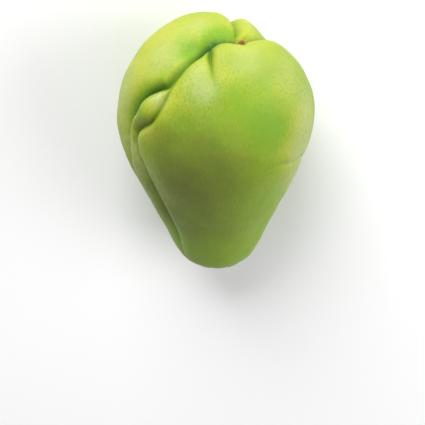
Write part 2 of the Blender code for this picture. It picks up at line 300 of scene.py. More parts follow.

# Where the skin is yellower, paler and more olive than elsewhere. The yellower places are partly riper skin
# and partly painted light on lit places; the paler ones partly pale bloom and partly painted highlights and
# painted reflection; the olive ones painted shade over the upper side towards the stem end.
RIPE_AND_LIT = (
    Blush(down=0, round=0, share=0.3, spread=32),
    Blush(down=24, round=165, share=0.8, spread=18),
    Blush(down=42, round=-168, share=0.7, spread=16),
    Blush(down=20, round=-70, share=0.2, spread=14),
    Blush(down=32, round=-86, share=0.2, spread=5),
    Blush(down=48, round=-122, share=0.6, spread=7),
    Blush(down=14, round=-10, share=0.15, spread=12),
    Blush(down=70, round=-170, share=0.4, spread=22),
    Blush(down=64, round=-130, share=0.75, spread=7),
    Blush(down=42, round=-36, share=0.4, spread=9),
    Blush(down=60, round=-38, share=0.4, spread=8),
    Blush(down=70, round=-45, share=0.6, spread=9),
    Blush(down=82, round=-42, share=0.5, spread=10),
    Blush(down=66, round=-26, share=0.5, spread=12),
)
# Paler skin: partly pale bloom, partly painted highlights and painted reflection, as along the right side.
BLOOM_AND_SHEEN = (
    Blush(down=47, round=-127, share=0.8, spread=5),
    Blush(down=57, round=-136, share=0.2, spread=5),
    Blush(down=40, round=-32, share=0.4, spread=11),
    Blush(down=15, round=10, share=0.35, spread=10),
    Blush(down=52, round=-172, share=0.55, spread=12),
    Blush(down=64, round=-166, share=0.5, spread=12),
    Blush(down=76, round=-143, share=0.5, spread=6),
    Blush(down=79, round=-156, share=0.6, spread=10),
    Blush(down=84, round=-138, share=0.6, spread=8),
    Blush(down=95, round=-132, share=0.4, spread=10),
    Blush(down=30, round=-103, share=0.4, spread=6),
    Blush(down=28, round=-143, share=0.6, spread=12),
    Blush(down=8, round=-148, share=0.5, spread=9),
    Blush(down=27, round=-62, share=0.5, spread=10),
    Blush(down=40, round=-98, share=0.7, spread=7),
    Blush(down=58, round=-22, share=0.5, spread=11),
    Blush(down=68, round=-28, share=0.65, spread=11),
    Blush(down=78, round=-31, share=0.7, spread=12),
    Blush(down=92, round=-28, share=0.55, spread=14),
)
# Painted shade: olive skin over the upper side towards the stem end.
PAINTED_SHADE = (
    Blush(down=84, round=-107, share=0.82, spread=24),
    Blush(down=63, round=-96, share=0.35, spread=16),
    Blush(down=80, round=-88, share=0.4, spread=20),
    Blush(down=70, round=-118, share=0.35, spread=12),
    Blush(down=110, round=-104, share=0.55, spread=26),
    Blush(down=84, round=-144, share=0.6, spread=5),
    Blush(down=95, round=-140, share=0.6, spread=8),
    Blush(down=108, round=-138, share=0.5, spread=10),
)

# Where the skin is as green as in a shallow furrow: partly greener skin and partly painted shade.
GREEN_AND_SHADE = (
    Blush(down=21, round=-122, share=0.6, spread=7.5),
    Blush(down=19.5, round=-101, share=0.35, spread=3.5),
    Blush(down=39, round=-130, share=0.3, spread=5),
    Blush(down=16, round=-88, share=0.35, spread=3.5),
    Blush(down=9, round=-92, share=0.4, spread=7),
    Blush(down=9, round=-50, share=0.25, spread=5),
    Blush(down=57, round=-136, share=0.35, spread=6),
    Blush(down=43, round=-75, share=0.25, spread=8),
    Blush(down=54, round=-66, share=0.25, spread=8),
    Blush(down=60, round=-56, share=0.56, spread=11),
    Blush(down=78, round=-56, share=0.25, spread=11),
)

# Where the skin has hardly any streaks.
SMOOTHED = (
    Blush(down=27, round=-48, share=0.95, spread=15),
    Blush(down=20, round=-78, share=0.6, spread=7),
    Blush(down=28, round=-143, share=0.6, spread=15),
    Blush(down=38, round=-98, share=0.5, spread=9),
)

# Where the skin is corky: round the flower's scar and round the stem end.
CORKED = (
    Blush(*SCAR, share=0.9, spread=2.6),
    Blush(down=180, round=0, share=0.95, spread=4.5),
)

# The colours as linear red, green, blue and alpha.
GREEN = (0.215, 0.350, 0.016, 1.0)
# Riper skin, and painted light on the crests and lit places.
YELLOW = (0.415, 0.438, 0.022, 1.0)
# Bloom, pale streaks and specks, and also painted highlights and painted reflection.
PALE = (0.410, 0.468, 0.165, 1.0)
# The olive streaks, and painted shade towards the stem end.
OLIVE = (0.138, 0.160, 0.022, 1.0)
# Greener skin in the furrows and the dark streaks, and partly painted shade in the furrows.
FURROW = (0.165, 0.330, 0.012, 1.0)
# Painted shade: the dark line along a furrow's bottom.
CREASE_SHADE = (0.055, 0.130, 0.014, 1.0)
# Painted shade at the bottom of the deepest furrows.
DEEP_SHADE = (0.040, 0.200, 0.055, 1.0)
CORK = (0.250, 0.120, 0.030, 1.0)
DRIED = (0.230, 0.105, 0.012, 1.0)
DRIED_TIP = (0.580, 0.330, 0.090, 1.0)
FLOOR = (0.93, 0.93, 0.93, 1.0)

# The remnant of the flower.
SUNK = 2.3 * MM  # its foot stands this far below the unfolded skin
FIBRE_WIDTH = 0.35 * MM
FIBRE_RELIEF = 0.15 * MM
CRUMPLE_SIZE = 1.1 * MM
STUB_TAPER = 0.8  # radius of the stub's top, as a share of its foot's
RING_RADIUS = 0.4  # of the ring that sepals and threads stand on, as a share of the stub's
SEPAL_LEVEL = 0.9  # height of the sepals' ring, as a share of the stub's height
THREAD_LEVEL = 0.95
SEPAL_RISE = 0.6  # how much a curled sepal rises, next to a true arc
SEPAL_FOOT = 1.15  # width of a sepal at its foot, as a share of its set width
SEPAL_TAPER = 0.75  # and how much narrower it gets towards its tip
SEPAL_CUP = 0.5  # how far a sepal's sides stand up, as a share of its width
THREAD_SAG = 0.35  # how far a thread's tip sags, as a share of its length
THREAD_PALENESS = 0.7  # how pale its tip is, next to a sepal's
# Random values lie between two limits, or as far to both sides of 0.
PLACE_SPREAD = 0.22  # of places on a ring, as a share of the space between them
ROLL_SPREAD = 0.6  # of the roll of a sepal or thread about its own length, in radians
SIZES = (0.75, 1.1)
SEPAL_LEANS = (-0.2, 0.25)  # down from level, in radians
THREAD_LEANS = (-1.35, -0.5)
SEPAL_SEED = 10
THREAD_SEED = 20

# The floor.
FLOOR_SIDES = 64
FLOOR_GRAIN = 0.6 * MM
FLOOR_RELIEF = 0.01 * MM
FLOOR_ROUGHNESS = 0.6


def smooth_skin(down, around):
    """Places on the skin before any lobe or fold, for angles in radians."""
    middle = (BLOSSOM_END + STEM_END) / 2
    half = (BLOSSOM_END - STEM_END) / 2
    cosine = np.cos(down)
    radius = np.sin(down) * MM * sum(share * cosine**power for power, share in enumerate(FULLNESS))
    depth = np.where(np.sin(around) > 0, BACK_DEPTH, FRONT_DEPTH)
    return np.stack([radius * np.cos(around), depth * radius * np.sin(around), middle + half * cosine], -1)


def outward(down, around):
    """Unit normals of the smooth skin, from its slope over a small step, and at a pole from close by."""
    step = 1e-4
    pole = 10 * step
    safe = np.clip(down, pole, math.pi - pole)
    along = smooth_skin(safe + step, around) - smooth_skin(safe - step, around)
    across = smooth_skin(safe, around + step) - smooth_skin(safe, around - step)
    normal = np.cross(along, across)
    return normal / np.linalg.norm(normal, axis=-1, keepdims=True)


def through(values):
    """A Catmull-Rom curve through a list of points, with FURROW_POINTS points from its first to its last."""
    points = np.asarray(values, float)
    ends = np.vstack([2 * points[0] - points[1], points, 2 * points[-1] - points[-2]])
    where = np.linspace(0, len(points) - 1, FURROW_POINTS)
    piece = np.minimum(where.astype(int), len(points) - 2)
    u = (where - piece)[:, None]
    a, b, c, d = (ends[piece + k] for k in range(4))
    return 0.5 * (2 * b + (c - a) * u + (2 * a - 5 * b + 4 * c - d) * u**2 + (3 * b - a - 3 * c + d) * u**3)


def nearest_on(fold, places, normals):
    """For each place: the vector to it from the nearest point of the furrow, the way to the furrow's left,
    how far that vector goes to the left as a share of its length, and the depth and the two rolls there."""
    points = np.array(fold.points, float)
    furrow = through(smooth_skin(*np.radians(points[:, :2]).T))
    section = through(points[:, 2:] * MM)
    heading = np.gradient(furrow, axis=0)
    squares = (places**2).sum(1)[:, None] - 2 * places @ furrow.T + (furrow**2).sum(1)
    nearest = np.argmin(squares, axis=1)
    heading = heading[nearest]
    gap = places - furrow[nearest]
    onward = np.clip((gap * heading).sum(1) / (heading**2).sum(1), -0.5, 0.5)
    where = np.clip(nearest + onward, 0, FURROW_POINTS - 1)
    steps = np.arange(FURROW_POINTS)
    gap = places - np.stack([np.interp(where, steps, furrow[:, axis]) for axis in range(3)], -1)
    leftward = np.cross(normals, heading)
    leftward /= np.linalg.norm(leftward, axis=1, keepdims=True)
    side = (gap * leftward).sum(1) / np.maximum(np.linalg.norm(gap, axis=1), TINY)
    depth, left, right = (np.maximum(np.interp(where, steps, section[:, part]), 0) for part in range(3))
    return gap, leftward, side, depth, left, right


def angles_of(places):
    """The angles down and round of places that are on the smooth skin or close to it."""
    down = np.linspace(0, math.pi, OUTLINE_POINTS)
    outline = smooth_skin(down, np.zeros_like(down))
    seen = np.arctan2(outline[:, 0], outline[:, 2] - EYE)
    x, y, z = places.T
    y = y / np.where(y > 0, BACK_DEPTH, FRONT_DEPTH)
    return np.interp(np.arctan2(np.hypot(x, y), z - EYE), seen, down), np.arctan2(y, x)


def eased(share):
    """From 0 to 1 with a smooth start and end, for shares from 0 to 1."""
    return share**2 * (3 - 2 * share)


def gather(down, around):
    """Slides places along the smooth skin towards the furrows near them, so that the mesh is finest there."""
    for fold in FOLDS:
        places = smooth_skin(down, around)
        gap, _, _, depth, _, _ = nearest_on(fold, places, outward(down, around))
        far = np.clip(np.linalg.norm(gap, axis=1) / GATHER_REACH, 0, 1)
        pull = GATHER * np.clip(depth / GATHER_DEPTH, 0, 1) * (1 - eased(far))
        down, around = angles_of(places - gap * pull[:, None])
    return down, around


def rolled(distance, width):
    """How far down a round-shouldered lobe has rolled: 1 in the furrow, 0 from width outwards."""
    near = np.clip(1 - distance / width, 0, 1)
    return 1 - np.sqrt(1 - near**2)


def unevenness(places):
    """How far the skin's slight unevenness raises it at each place: by crossed waves of unlike lengths, which
    bend each other, so that nothing in it repeats."""
    x, y, z = places.T / UNEVEN_LENGTH
    across = np.sin(x + 1.3 * np.sin(y + 0.7)) * np.cos(y + 0.4 * z)
    return UNEVEN * across * np.sin(0.8 * z + 1.1 * np.sin(1.2 * x))


def away_from(places, down, around):
    """How far places on the smooth skin are from the one at these two angles, which are in degrees."""
    return np.linalg.norm(places - smooth_skin(math.radians(down), math.radians(around)), axis=1)


def folded_skin(down, around):
    """For arrays of angles in radians, already gathered: places on the folded skin, with its lobes, furrows
    and swellings, how far the furrows have sunk each of them, and by name how strongly they tint it: greener
    and partly painted shade in the hollows, painted shade in the dark line along each furrow's bottom, and
    pale along the worn edge."""
    places = smooth_skin(down, around)
    normals = outward(down, around)
    sunk = np.zeros(len(places))
    tints = {name: np.zeros(len(places)) for name in ("hollow", "creased", "worn")}
    slide = np.zeros_like(places)
    for fold in FOLDS:
        gap, leftward, side, depth, left, right = nearest_on(fold, places, normals)
        distance = np.sqrt((gap**2).sum(1) + FURROW_ROUNDING**2)
        turn = 0.5 + 0.5 * np.sin(0.5 * math.pi * np.clip(side, -1, 1))
        share = rolled(distance, turn * left + (1 - turn) * right)
        sunk = (sunk**MEETING + (depth * share) ** MEETING) ** (1 / MEETING)
        crease_width = np.maximum(CREASE_SHARE * depth, LEAST_CREASE)
        fullness = fold.green * np.clip(depth / FULL_CREASE, 0, 1)
        edge = np.clip(side, 0, 1) * np.exp(-(((distance - EDGE) / EDGE_WIDTH) ** 2))
        for name, tint in (
            ("hollow", fold.green * depth * share / FULL_HOLLOW),
            ("creased", fullness * np.exp(-((distance / crease_width) ** 2))),
            ("worn", fullness * edge * np.clip((np.degrees(down) - fold.worn_from) / WORN_OVER, 0, 1)),
        ):
            tints[name] = np.maximum(tints[name], tint)
        reach = np.exp(-((distance / LEAN_REACH) ** 2)) * np.clip(depth / LEAN_DEPTH, 0, 1)
        slide -= leftward * (fold.lean * MM * (1 - share) * reach)[:, None]
    raised = unevenness(places)
    for swelling in SWELLINGS:
        far = away_from(places, swelling.down, swelling.round)
        raised += swelling.rise * MM * np.exp(-((far / (swelling.spread * MM)) ** 2))
    return places + normals * (raised - sunk)[:, None] + slide, sunk, tints


def ball_angles(unit):
    """The angles down and round of a unit ball's vertices, with the rings crowded to the blossom end and all
    of them gathered at the furrows."""
    down = np.arccos(np.clip(unit[:, 2], -1, 1))
    down -= CROWDING * np.sin(down)
    return gather(down, np.arctan2(unit[:, 1], unit[:, 0]))


def laid_down():
    """The matrix that lays the squash down from its own frame to where the frame's node lies."""
    roll = Matrix.Rotation(math.radians(LYING_ROLL), 4, "Z")
    turn = Matrix.Rotation(math.radians(LYING_TILT - 90), 4, "X") @ roll
    down, around = np.meshgrid(
        np.linspace(0, math.pi, POSE_RINGS), np.linspace(-math.pi, math.pi, POSE_SEGMENTS), indexing="ij"
    )
    places, _, _ = folded_skin(*gather(down.ravel(), around.ravel()))
    turned = places @ np.array(turn.to_3x3()).T
    low, high = turned.min(axis=0), turned.max(axis=0)
    node_low, node_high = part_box(SKIN_NODE)
    shift = (node_low + node_high) / 2 - Vector((low + high) / 2)
    shift.z = node_high.z - high[2]
    return Matrix.Translation(shift) @ turn


def scar_pose():
    """The matrix that stands the remnant in the scar, in the squash's own frame."""
    down, around = np.radians(SCAR)
    normal = Vector(outward(down, around))
    place = Vector(smooth_skin(down, around)) - SUNK * normal
    return Matrix.Translation(place) @ normal.to_track_quat("Z", "Y").to_matrix().to_4x4()


class Value:
    """A number that a node tree works out at each point. Arithmetic on it adds Math nodes."""

    def __init__(self, tree, socket):
        self.tree = tree
        self.socket = socket

    def work_out(self, operation, first, second):
        return self.tree.add("ShaderNodeMath", {"operation": operation}, {0: first, 1: second})["Value"]

    def __add__(self, other):
        return self.work_out("ADD", self, other)

    def __sub__(self, other):
        return self.work_out("SUBTRACT", self, other)

    def __rsub__(self, other):
        return self.work_out("SUBTRACT", other, self)

    def __mul__(self, other):
        return self.work_out("MULTIPLY", self, other)

    def __truediv__(self, other):
        return self.work_out("DIVIDE", self, other)

    def __rtruediv__(self, other):
        return self.work_out("DIVIDE", other, self)

    __radd__ = __add__
    __rmul__ = __mul__


class Tree:
    """A node tree under construction."""

    def __init__(self, nodes):
        self.nodes = nodes

    def add(self, kind, settings=None, inputs=None):
        """Adds a node of a kind: its settings come first, then the values or links of its sockets, which are
        given by name or place. Returns its outputs by name."""
        node = self.nodes.nodes.new(kind)
        for name, setting in (settings or {}).items():
            setattr(node, name, setting)
        sockets = [socket for socket in node.inputs if socket.enabled]
        for key, value in (inputs or {}).items():
            socket = sockets[key] if isinstance(key, int) else next(s for s in sockets if s.name == key)
            if isinstance(value, Value):
                self.nodes.links.new(value.socket, socket)
            else:
                socket.default_value = value
        return {socket.name: Value(self, socket) for socket in node.outputs if socket.enabled}


class Finish(Tree):
    """A material under construction."""

    def __init__(self, name):
        self.material = bpy.data.materials.new(name)
        self.material.use_nodes = True
        super().__init__(self.material.node_tree)
        self.nodes.nodes.clear()
        self.place = self.add("ShaderNodeTexCoord")["Object"]

    def attribute(self, name, output="Fac"):
        return self.add("ShaderNodeAttribute", {"attribute_name": name})[output]

    def rising(self, value, between):
        """0 up to the first of two values and 1 from the second on, with a smooth step between."""
        low, high = between
        inputs = {"Value": value, "From Min": low, "From Max": high}
        return self.add("ShaderNodeMapRange", {"interpolation_type": "SMOOTHSTEP"}, inputs)["Result"]

    def clouds(self, where, size, detail=2.0):
        """A noise from 0 to 1, whose clouds are about this size."""
        inputs = {"Vector": where, "Scale": 1 / size, "Detail": detail}
        return self.add("ShaderNodeTexNoise", {"noise_dimensions": "3D"}, inputs)["Fac"]

    def mix(self, share, first, second):
        """The first colour, with a share of the second mixed in."""
        inputs = {"Factor": share, "A": first, "B": second}
        return self.add("ShaderNodeMix", {"data_type": "RGBA", "clamp_factor": True}, inputs)["Result"]

    def surface(self, height, height_scale, **sockets):
        """Ends the material in a Principled BSDF over a bump of this height times height_scale."""
        inputs = {name.replace("_", " ").title().replace("Ior", "IOR"): sockets[name] for name in sockets}
        bump = self.add("ShaderNodeBump", inputs={"Height": height, "Distance": height_scale})
        inputs["Normal"] = bump["Normal"]
        shader = self.add("ShaderNodeBsdfPrincipled", inputs=inputs)["BSDF"]
        self.add("ShaderNodeOutputMaterial", inputs={"Surface": shader})
        return self.material


def colour(name, description, default):
    return FloatVectorProperty(
        name=name, description=description, default=default, size=4, min=0, max=1, subtype="COLOR"
    )


def length(name, description, default):
    return FloatProperty(name=name, description=description, default=default, precision=5, unit="LENGTH")


def angle(name, description, degrees):
    return FloatProperty(name=name, description=description, default=math.radians(degrees), subtype="ANGLE")


def share(name, description, default):
    return FloatProperty(name=name, description=description, default=default, min=0, max=1, subtype="FACTOR")


def count(name, description, default):
    return IntProperty(name=name, description=description, default=default, min=1)


def strength(name, description, default, **more):
    return FloatProperty(name=name, description=description, default=default, min=0, **more)


class SquashSkinSettings(bpy.types.PropertyGroup):
    rings: count("Rings", "Rings of the skin's mesh", 220)
    segments: count("Segments", "Segments of each ring", 384)
    wrinkles: length("Wrinkles", "Height of the lengthwise wrinkles", 0.09 * MM)
    dimples: length("Dimples", "Height of the broad dimples", 0.22 * MM)
    pleats: length("Pleats", "Height of the pleats round the flower's scar", 0.15 * MM)
    puckers: length("Puckers", "Height of the puckers round the stem end", 0.35 * MM)
    green: colour("Green", "Colour of most of the skin", GREEN)
    # Yellow is riper skin, and painted light on the crests and lit places.
    yellow: colour("Yellow", "Colour of the lobes' crests", YELLOW)
    # Pale is bloom, streaks and specks, and also painted highlights and painted reflection.
    pale: colour("Pale", "Colour of bleached skin and of the specks", PALE)
    # Olive is the colour of the olive streaks and of painted shade towards the stem end.
    olive: colour("Olive", "Colour of skin that saw little sun", OLIVE)
    # Furrow is partly greener skin and partly painted shade, and the colour of the dark streaks.
    furrow: colour("Furrow", "Colour of the sides of the furrows", FURROW)
    # Deep is painted shade in the deepest furrows.
    deep: colour("Deep", "Colour of the deepest furrows", DEEP_SHADE)
    # Crease is painted shade in the dark line along the furrows.
    crease: colour("Crease", "Colour of the line along the bottom of the furrows", CREASE_SHADE)
    cork: colour("Cork", "Colour of scars and scabs", CORK)
    roughness: share("Roughness", "Dullness of the wax", 0.54)
    translucency: share("Translucency", "Share of the light that goes into the flesh", 0.12)


class DriedFlowerSettings(bpy.types.PropertyGroup):
    sepals: count("Sepals", "How many sepals are left", 5)
    sepal_length: length("Sepal length", "Length of a dried sepal", 3.7 * MM)
    sepal_width: length("Sepal width", "Half width of a sepal", 0.8 * MM)
    sepal_thickness: length("Sepal thickness", "Half thickness of a sepal", 0.12 * MM)
    curl: angle("Curl", "How far a sepal curls up", 35)
    threads: count("Threads", "How many dried threads stand between", 7)
    thread_length: length("Thread length", "Length of a thread", 1.9 * MM)
    thread_radius: length("Thread radius", "Radius of a thread", 0.09 * MM)
    stub_radius: length("Stub radius", "Radius of the stub's foot", 0.8 * MM)
    stub_height: length("Stub height", "Height of the stub", 1.7 * MM)
    crumple: length("Crumple", "How far it all has shrivelled", 0.45 * MM)
    pinch: share("Pinch", "How far the lobes pinch it flat and wide", 0.4)
    seed: IntProperty(name="Seed", description="Seed of the sepals' and threads' places", default=4)
    colour: colour("Colour", "Colour of the dried stub", DRIED)
    tip_colour: colour("Tip colour", "Colour of the dried tips", DRIED_TIP)
    roughness: share("Roughness", "Dullness of the dry matter", 0.85)


class SquashStageSettings(bpy.types.PropertyGroup):
    floor_colour: colour("Floor", "Colour of the floor", FLOOR)
    floor_radius: length("Floor radius", "Radius of the floor", 4.0)
    sky: strength("Sky", "Strength of the even light from all around", 0.36)
    lamp_distance: length("Lamp distance", "From the squash to the lamps", 1.6)
    key_power: strength("Key power", "Power of the key lamp", 32.0, unit="POWER")
    key_size: length("Key size", "Width of the key lamp", 1.0)
    key_elevation: angle("Key elevation", "Height of the key lamp above the floor", 29)
    key_azimuth: angle("Key azimuth", "How far left of the blossom end the key lamp stands", 14)
    fill_power: strength("Fill power", "Power of the fill lamp", 18.0, unit="POWER")
    fill_size: length("Fill size", "Width of the fill lamp", 1.3)
    fill_elevation: angle("Fill elevation", "Height of the fill lamp above the floor", 28)
    fill_azimuth: angle("Fill azimuth", "How far left of the blossom end the fill lamp stands", -85)
    camera_distance: length("Camera distance", "From the widest section to the camera", 0.581)
    camera_elevation: angle("Camera elevation", "How far the camera looks down on the standing squash", 33)
    camera_across: length("Camera across", "How far right of the squash the camera aims", -1.7 * MM)
    camera_below: length("Camera below", "How far below the widest section the camera aims", 52.9 * MM)
    lens: strength("Lens", "Focal length in millimetres", 100.0)


def skin_ball(rings, segments):
    """A ball mesh, and its vertices' angles on the squash."""
    ball = bmesh.new()
    bmesh.ops.create_uvsphere(ball, u_segments=segments, v_segments=rings, radius=1)
    mesh = bpy.data.meshes.new("squash_skin")
    ball.to_mesh(mesh)
    ball.free()
    return mesh, ball_angles(read(mesh.vertices, "co"))


def read(items, name, width=3, kind=np.float32):
    """One property of all of a mesh's vertices or edges, as an array."""
    values = np.empty(len(items) * width, kind)
    items.foreach_get(name, values)
    return values.reshape(-1, width).astype(float if kind is np.float32 else int)


def move_to(mesh, places):
    mesh.vertices.foreach_set("co", places.astype(np.float32).ravel())
    mesh.update()


def store(mesh, name, values):
    """Stores a number or a vector for each vertex."""
    kind, field = ("FLOAT", "value") if values.ndim == 1 else ("FLOAT_VECTOR", "vector")
    mesh.attributes.new(name, kind, "POINT").data.foreach_set(field, values.astype(np.float32).ravel())


def bulge(mesh):
    """How far each vertex stands out of the skin around it, as a share of FULL_BULGE."""
    places = read(mesh.vertices, "co")
    first, second = read(mesh.edges, "vertices", 2, np.int32).T
    vertices = len(places)
    neighbours = np.bincount(first, minlength=vertices) + np.bincount(second, minlength=vertices)
    smooth = places.T.copy()
    for _ in range(BULGE_ROUNDS):
        for axis in smooth:
            total = np.bincount(first, axis[second], vertices) + np.bincount(second, axis[first], vertices)
            axis[:] = (axis + total / neighbours) / 2
    return ((places - smooth.T) * read(mesh.vertex_normals, "vector")).sum(1) / FULL_BULGE


def grain_of(down, around):
    """Coordinates for streaks that run along the fruit, wide apart at its belly and closing at its ends."""
    radius = GRAIN_LEAST + (GRAIN_MOST - GRAIN_LEAST) * np.sin(down)
    along = -GRAIN_STRETCH * (BLOSSOM_END - STEM_END) * down / math.pi
    return np.stack([radius * np.cos(around), radius * np.sin(around), along], -1)


def blushed(places, blushes):
    """How strongly blushes tint each place, from 0 to 1."""
    left = np.ones(len(places))
    for blush in blushes:
        far = away_from(places, blush.down, blush.round)
        left *= 1 - blush.share * np.exp(-((far / (blush.spread * MM)) ** 2))
    return 1 - left


def noise_at(places, size, shift):
    """A smooth noise from -1 to 1 at each place, whose clouds are about this size. Each shift gives another
    one."""
    return np.array([noise.noise(Vector(place) / size + Vector((shift, 0, 0))) for place in places])


def rays(places, centre, normal, count):
    """Waves from -1 to 1 that run out from a centre like the spokes of a wheel, as many as count."""
    across = Vector(normal).orthogonal().normalized()
    beside = Vector(normal).cross(across)
    offset = places - centre
    return np.cos(count * np.arctan2(offset @ np.array(beside), offset @ np.array(across)))


def ringed(distance, start, reach):
    """How strongly pleats round a scar show at these distances from its middle: not at all right in it, most
    at start, and hardly beyond reach."""
    return np.exp(-((distance / reach) ** 2)) * np.clip(distance / start, 0, 1)


def fine_relief(down, around, grain, sunk, settings):
    """How far wrinkles, dimples, pleats and puckers raise the skin at each place."""
    smooth = smooth_skin(down, around)
    near_fold = np.clip(sunk / FULL_WRINKLES, 0, 1)
    finer = noise_at(grain, WRINKLE_WIDTH / 2, shift=9)
    wrinkles = noise_at(grain, WRINKLE_WIDTH, shift=0) + finer / 2
    dimples = noise_at(smooth, DIMPLE_WIDTH, shift=3)
    scar = np.radians(SCAR)
    pleats = rays(smooth, smooth_skin(*scar), outward(*scar), PLEATS)
    pleats *= ringed(away_from(smooth, *SCAR), PLEAT_START, PLEAT_REACH)
    puckers = np.cos(PUCKERS * around + PUCKER_BEND * wrinkles)
    puckers *= ringed(away_from(smooth, 180, 0), PUCKER_START, PUCKER_REACH)
    return (
        settings.wrinkles * wrinkles * (OPEN_WRINKLES + near_fold)
        + settings.dimples * dimples
        + settings.pleats * pleats
        + settings.puckers * puckers
    )


def swing(clouds, width):
    """A noise from 0 to 1, made to swing about 0 over this width."""
    return (clouds - 0.5) * width


def skin_finish(settings):
    """Waxy green skin: yellower crests, partly painted light, greener furrows, partly painted shade, painted
    shade along the furrows' bottom and over the upper side towards the stem end, pale patches that are partly
    painted highlights and painted reflection, fine lengthwise streaks, pale specks and cork.
    """
    finish = Finish("chayote_skin")
    grain = finish.attribute("grain", "Vector")
    bleached = finish.attribute("bleached")
    streaky = 1 - finish.attribute("smoothed") * SMOOTH_LOSS

    streaks = finish.clouds(grain, STREAK_WIDTH)
    broad_streaks = finish.clouds(grain, BROAD_STREAK_WIDTH)
    mottling = finish.clouds(finish.place, MOTTLE_SIZE, detail=3.0)
    freckles = finish.clouds(finish.place, FRECKLE_SIZE, detail=3.0)
    hollow = finish.attribute("hollow") * (1 + swing(freckles, HOLLOW_FRECKLES))

    # The broad colours: ripeness, partly painted light on the crests and lit places, painted shade towards
    # the stem end, and the greener furrows, partly painted shade, with painted shade at their deepest.
    ripeness_and_light = finish.attribute("sunned") + finish.attribute("crest") * RIPE_AND_LIT_CRESTS
    ripeness_and_light = ripeness_and_light + swing(mottling, RIPE_MOTTLING) + swing(broad_streaks, RIPE_STREAKS)
    colour = finish.mix(finish.rising(ripeness_and_light, RIPENING), settings.green, settings.yellow)
    shade = finish.attribute("shaded") + swing(mottling, SHADY_MOTTLING)
    colour = finish.mix(finish.rising(shade, SHADING), colour, settings.olive)
    colour = finish.mix(finish.rising(hollow, HOLLOWING) * FURROW_TINT, colour, settings.furrow)
    colour = finish.mix(finish.rising(hollow, DEEPENING), colour, settings.deep)

    # Pale and dark streaks, and pale patches that are partly bloom and partly painted highlights and painted
    # reflection. The pale patches are full of pale streaks, and the furrows have few.
    pale_streaks = (swing(streaks, PALE_STREAKS) + swing(freckles, PALE_FRECKLES)) * streaky
    paleness = bleached * PALE_BLOOM_AND_SHEEN + pale_streaks - hollow * HOLLOW_LOSS
    colour = finish.mix(finish.rising(paleness, PALING), colour, settings.pale)
    dark_streaks = finish.rising(1 - streaks, DARK_STREAKING) * streaky
    colour = finish.mix(dark_streaks * (DARK_STREAK_TINT - bleached * BLOOM_AND_SHEEN_LOSS), colour, settings.furrow)
    olive_streaks = dark_streaks * finish.rising(broad_streaks, OLIVE_STREAKING)
    colour = finish.mix(olive_streaks * OLIVE_STREAK_TINT, colour, settings.olive)

    # Painted shade in the dark line along the furrows' bottom, and the worn edge beside it.
    colour = finish.mix(finish.attribute("creased") * CREASE_TINT, colour, settings.crease)
    colour = finish.mix(finish.attribute("worn") * WORN_TINT, colour, settings.pale)

    # Specks and scabs.
    inputs = {"Vector": finish.place, "Scale": 1 / SPECK_SPACING}
    cells = finish.add("ShaderNodeTexVoronoi", {"feature": "F1"}, inputs)
    specks = 1 - finish.rising(cells["Distance"], SPECKLING)
    colour = finish.mix(specks * SPECK_TINT, colour, settings.pale)
    scabs = finish.rising(finish.attribute("corky") + swing(freckles, SCAB_FRECKLES), SCABBING)
    colour = finish.mix(scabs * SCAB_TINT, colour, settings.cork)

    height = freckles * FRECKLE_HEIGHT + streaks * STREAK_HEIGHT + specks * SPECK_HEIGHT
    dullness = swing(mottling, MOTTLED_DULLNESS) + hollow * HOLLOW_DULLNESS + scabs * SCAB_DULLNESS
    return finish.surface(
        height + scabs * finish.clouds(finish.place, SCAB_GRAIN) * SCAB_HEIGHT,
        SKIN_RELIEF,
        base_color=colour,
        roughness=settings.roughness + dullness,
        specular_ior_level=SPECULAR,
        subsurface_weight=settings.translucency,
        subsurface_radius=FLESH_REACH,
        subsurface_scale=FLESH_DEPTH,
    )


def dried_finish(settings):
    """Dry, papery brown, paler at the tips."""
    finish = Finish("dried_flower")
    fibres = finish.clouds(finish.place, FIBRE_WIDTH, detail=4.0)
    tip = finish.rising(finish.attribute("tip") + swing(fibres, DRY_FIBRES), DRYING)
    colour = finish.mix(tip, settings.colour, settings.tip_colour)
    return finish.surface(fibres, FIBRE_RELIEF, base_color=colour, roughness=settings.roughness)


def floor_finish(settings):
    """A plain, almost smooth floor."""
    finish = Finish("floor")
    grain = finish.clouds(finish.place, FLOOR_GRAIN)
    return finish.surface(grain, FLOOR_RELIEF, base_color=settings.floor_colour, roughness=FLOOR_ROUGHNESS)


class SQUASH_OT_make_skin(bpy.types.Operator):
    """Makes the squash's skin, with its folds, wrinkles and colours, and lays it down"""

    bl_idname = "squash.make_skin"
    bl_label = "Make skin"

    def execute(self, context):
        settings = context.scene.squash_skin
        mesh, (down, around) = skin_ball(settings.rings, settings.segments)
        places, sunk, tints = folded_skin(down, around)
        grain = grain_of(down, around)
        move_to(mesh, places)
        relief = fine_relief(down, around, grain, sunk, settings)
        places += read(mesh.vertex_normals, "vector") * relief[:, None]
        lying = np.array(laid_down())
        places = places @ lying[:3, :3].T + lying[:3, 3]
        places[places[:, 2] < FLAT_WITHIN, 2] = 0
        move_to(mesh, places)

        smooth = smooth_skin(down, around)
        # The greener tints are partly painted shade, the yellower ones and the crests partly painted light,
        # the paler ones partly painted highlights and painted reflection, and the olive ones painted shade.
        tints["hollow"] += blushed(smooth, GREEN_AND_SHADE)
        tints["crest"] = np.clip(bulge(mesh), 0, 1)
        tints["sunned"] = blushed(smooth, RIPE_AND_LIT)
        tints["bleached"] = blushed(smooth, BLOOM_AND_SHEEN)
        tints["shaded"] = blushed(smooth, PAINTED_SHADE)
        tints["smoothed"] = blushed(smooth, SMOOTHED)
        tints["corky"] = blushed(smooth, CORKED)
        store(mesh, "grain", grain)
        for name, tint in tints.items():
            store(mesh, name, tint)

        mesh.materials.append(skin_finish(settings))
        mesh.shade_smooth()
        skin = bpy.data.objects.new("squash_skin", mesh)
        context.scene.collection.objects.link(skin)
        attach(skin, BODY)
        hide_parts(SKIN_NODE)
        return {"FINISHED"}


